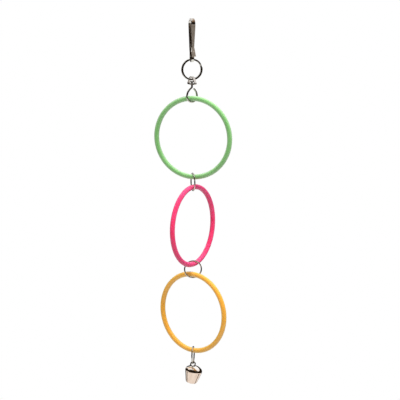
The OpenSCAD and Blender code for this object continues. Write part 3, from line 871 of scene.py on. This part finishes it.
# Name and turn of each hoop, three tones of its body, the tone of its painted edge sheen, glow and
# shine.
HOOPS = [
    ("green", -22.2, (0.17, 0.43, 0.12), (0.19, 0.46, 0.14), (0.22, 0.50, 0.165),
     (0.66, 0.88, 0.58), 0.08, 0.8),
    ("pink", 59.2, (0.84, 0.035, 0.13), (0.87, 0.045, 0.15), (0.90, 0.06, 0.19),
     (0.80, 0.13, 0.33), 0.45, 0.4),
    ("orange", -37.9, (0.86, 0.37, 0.030), (0.89, 0.40, 0.036), (0.92, 0.43, 0.05),
     (0.95, 0.68, 0.16), 0.12, 0.8)]
for colour, angle, *tones in HOOPS:
    bm = bmesh.new()
    wire_section(bm, TUBE_R, (HOOP_R, 0), 72)
    for vert in bm.verts:
        if abs(vert.co.z) < 0.01:
            vert.co.x += math.copysign(FLASH, vert.co.x - HOOP_R)
    bmesh.ops.spin(
        bm, geom=bm.edges[:], cent=(0, 0, 0), axis=(0, 0, 1), angle=math.radians(360),
        steps=180, use_merge=True)
    bmesh.ops.remove_doubles(bm, verts=bm.verts, dist=0.001)
    bmesh.ops.recalc_face_normals(bm, faces=bm.faces)
    hoop = put_in_scene(colour + "_hoop_moulding", bm, moulded(colour + "_plastic", *tones))
    hang(hoop, upright(angle, box_middle(colour + "_hoop")), colour + "_hoop", colour + "_plastic",
         colour + "_hoop", smooth=60)


# Jump rings: nickel plated wire, coiled, cut and bent shut, so that each has two square ends
# that almost meet. They tie the hoops together and carry the bell.
LINK_R, LINK_WIRE_R, LINK_GAP, JOINT_ANGLE = 7.75, 0.6, 0.25, 20
for link, angle in (("upper_link", -77), ("middle_link", 10.5), ("lower_link", 82.5)):
    bm = bmesh.new()
    open_angle = math.degrees(LINK_GAP / LINK_R)
    first = wire_section(bm, LINK_WIRE_R, (LINK_R, 0))
    rotate(bm, JOINT_ANGLE + open_angle / 2, "Z")
    last = spin_on(bm, first, (0, 0), 360 - open_angle, 96)
    close_end(bm, first, 0.09)
    close_end(bm, last, 0.09)
    ring = put_in_scene(link + "_wire", bm, wire_nickel)
    hang(ring, upright(angle, box_middle(link)), link, "wire_nickel", link)


# Petal bell: a dome pressed from thin sheet. Two slots cross under it and make four petals,
# which are bent in until they almost meet and hold the pellet.
BELL_TURN, BELL_LEAN, BAIL_OFF, BAIL_LEG = -7.5, 12, 1.89, 1.0
BELL_D, BELL_H, WALL = 15.7, 16.8, 0.6
SLOT_W, SLOT_END_R, SLOT_TOP, SLOTS_ANGLE = 0.7, 0.65, 6.2, 49.5
CROWN_R, SHOULDER_R, FOOT_R, FOOT_D, FOOT_HOLE_R = 10.0, 3.0, 2.4, 11.0, 1.0
BAIL_R, BAIL_WIRE_R, HOLE_GAP = 2.0, 0.6, 0.02
# Painted highlight: the dome's top is whitened, fading out between 1.6 and 3.2 mm below its top.
CROWN_HIGHLIGHT_TO, CROWN_HIGHLIGHT_FADE = 3.2, 1.6
bail_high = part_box("bell_bail")[1]
bail_place = box_middle("lower_link")
bail_place.z = bail_high.z - (BAIL_R + BAIL_WIRE_R) * MM
bell_frame = (
    Matrix.Translation(bail_place) @ Matrix.Rotation(math.radians(BELL_TURN), 4, "Z")
    @ Matrix.Rotation(math.radians(BELL_LEAN), 4, "Y"))
shell_place = bell_frame @ Matrix.Translation((BAIL_OFF * MM, 0, -BAIL_LEG * MM)) @ upright(0)

shoulder = Vector((BELL_D / 2 - SHOULDER_R, 0))
shoulder.y = math.sqrt((CROWN_R - SHOULDER_R) ** 2 - shoulder.x ** 2) - CROWN_R
foot = Vector((FOOT_D / 2 - FOOT_R, FOOT_R - BELL_H))
crown_angle = math.degrees(math.atan2(shoulder.y + CROWN_R, shoulder.x))
side_lean = math.atan2(shoulder.x - foot.x, shoulder.y - foot.y)
side_angle = math.degrees(
    side_lean - math.asin((FOOT_R - SHOULDER_R) / math.dist(shoulder, foot)))


def half_section(bm, inset):
    """Half of the dome's outline, drawn in by an inset, from its top to the hole in its foot."""
    pen = bm.verts.new((0, -inset, 0))
    pen = arc_to(bm, pen, (0, -CROWN_R), crown_angle - 90, 10)
    pen = arc_to(bm, pen, shoulder, -side_angle - crown_angle, 10)
    out = Vector((math.cos(math.radians(side_angle)), -math.sin(math.radians(side_angle))))
    for part in (0.25, 0.5, 0.75, 1):
        reach = SHOULDER_R + (FOOT_R - SHOULDER_R) * part - inset
        pen = line_to(bm, pen, *(shoulder.lerp(foot, part) + out * reach))
    pen = arc_to(bm, pen, foot, side_angle - 90, 8)
    return line_to(bm, pen, FOOT_HOLE_R, inset - BELL_H)


bell_nickel = plated(
    "bell_nickel", (0.86, 0.71, 0.59), (0.74, 0.58, 0.47), gloss=(0.06, 0.14), pits=700,
    pit_depth=0.000003)
# Painted highlight: a near-white tone on the dome's crown.
second_tone(bell_nickel, "crown_highlight", (1.0, 0.96, 0.92))
bm = bmesh.new()
bm.edges.new((half_section(bm, 0), half_section(bm, WALL)))
bell = put_in_scene("bell_dome", turn_round(bm, 128), bell_nickel)
tools = []
for angle in (SLOTS_ANGLE, SLOTS_ANGLE + 90):
    slot = block((-BELL_D, -BELL_H - 1, -SLOT_W / 2), (BELL_D, -SLOT_TOP, SLOT_W / 2))
    end = post((0, 0), SLOT_END_R, BELL_D, 32)
    rotate(end, 90, "Y")
    move(end, (0, -SLOT_TOP, 0))
    for tool in (slot, end):
        rotate(tool, angle, "Y")
        tools.append(tool)
for side in (-1, 1):
    hole = post((0, 0), BAIL_WIRE_R + HOLE_GAP, THROUGH, 24)
    rotate(hole, 90, "X")
    move(hole, (side * BAIL_R - BAIL_OFF, 0, 0))
    tools.append(hole)
machine(bell, tools)
ease(bell, 0.08, sharp=50)
mark(bell, "crown_highlight", lambda place: fade(place.y, -CROWN_HIGHLIGHT_TO, CROWN_HIGHLIGHT_FADE))
hang(bell, shell_place, "bell", "bell_nickel", "bell_shell", smooth=30)


# Hanging loop of the bell: a staple of nickel plated wire, bent round and pushed through two
# holes in the crown, so that its legs end inside the dome.
LEG_INSIDE = 0.8
bm = bmesh.new()
right = wire_section(bm, BAIL_WIRE_R, (BAIL_R, 0), 20)
left = spin_on(bm, right, (0, 0), 180, 24)
for loop, side in ((right, 1), (left, -1)):
    drop = CROWN_R - math.sqrt(CROWN_R ** 2 - (side * BAIL_R - BAIL_OFF) ** 2)
    end = draw_on(bm, loop, (0, -(BAIL_LEG + drop + WALL + LEG_INSIDE), 0))
    close_end(bm, end, 0.08)
staple_nickel = plated(
    "staple_nickel", (0.50, 0.42, 0.35), (0.36, 0.29, 0.23), gloss=(0.10, 0.20), pits=2200,
    pit_depth=0.000002)
bail = put_in_scene("bell_staple", bm, staple_nickel)
hang(bail, bell_frame @ upright(0), "bell", "wire_nickel", "bell_bail")


# Pellet: a small forged steel ball that lies loose in the bell and makes it ring. Its dies
# have left a low band round it.
pellet_steel = plated(
    "pellet_steel", (0.50, 0.49, 0.48), (0.33, 0.31, 0.30), gloss=(0.28, 0.45), pits=1200,
    pit_depth=0.00004)
PELLET_R, BAND_HIGH, BAND_HALF = 2.4, 0.04, 0.35
bm = bmesh.new()
bmesh.ops.create_uvsphere(bm, u_segments=40, v_segments=24, radius=PELLET_R - BAND_HIGH)
band = [vert for vert in bm.verts if abs(vert.co.z) < BAND_HALF]
bmesh.ops.scale(bm, vec=(PELLET_R / (PELLET_R - BAND_HIGH),) * 2 + (1,), verts=band)
pellet = put_in_scene("bell_ball", bm, pellet_steel)
pellet_place = Matrix.Translation(box_middle("bell_pellet")) @ Matrix.Scale(MM, 4)
hang(pellet, pellet_place, "pellet", "pellet_steel", "bell_pellet", smooth=60)
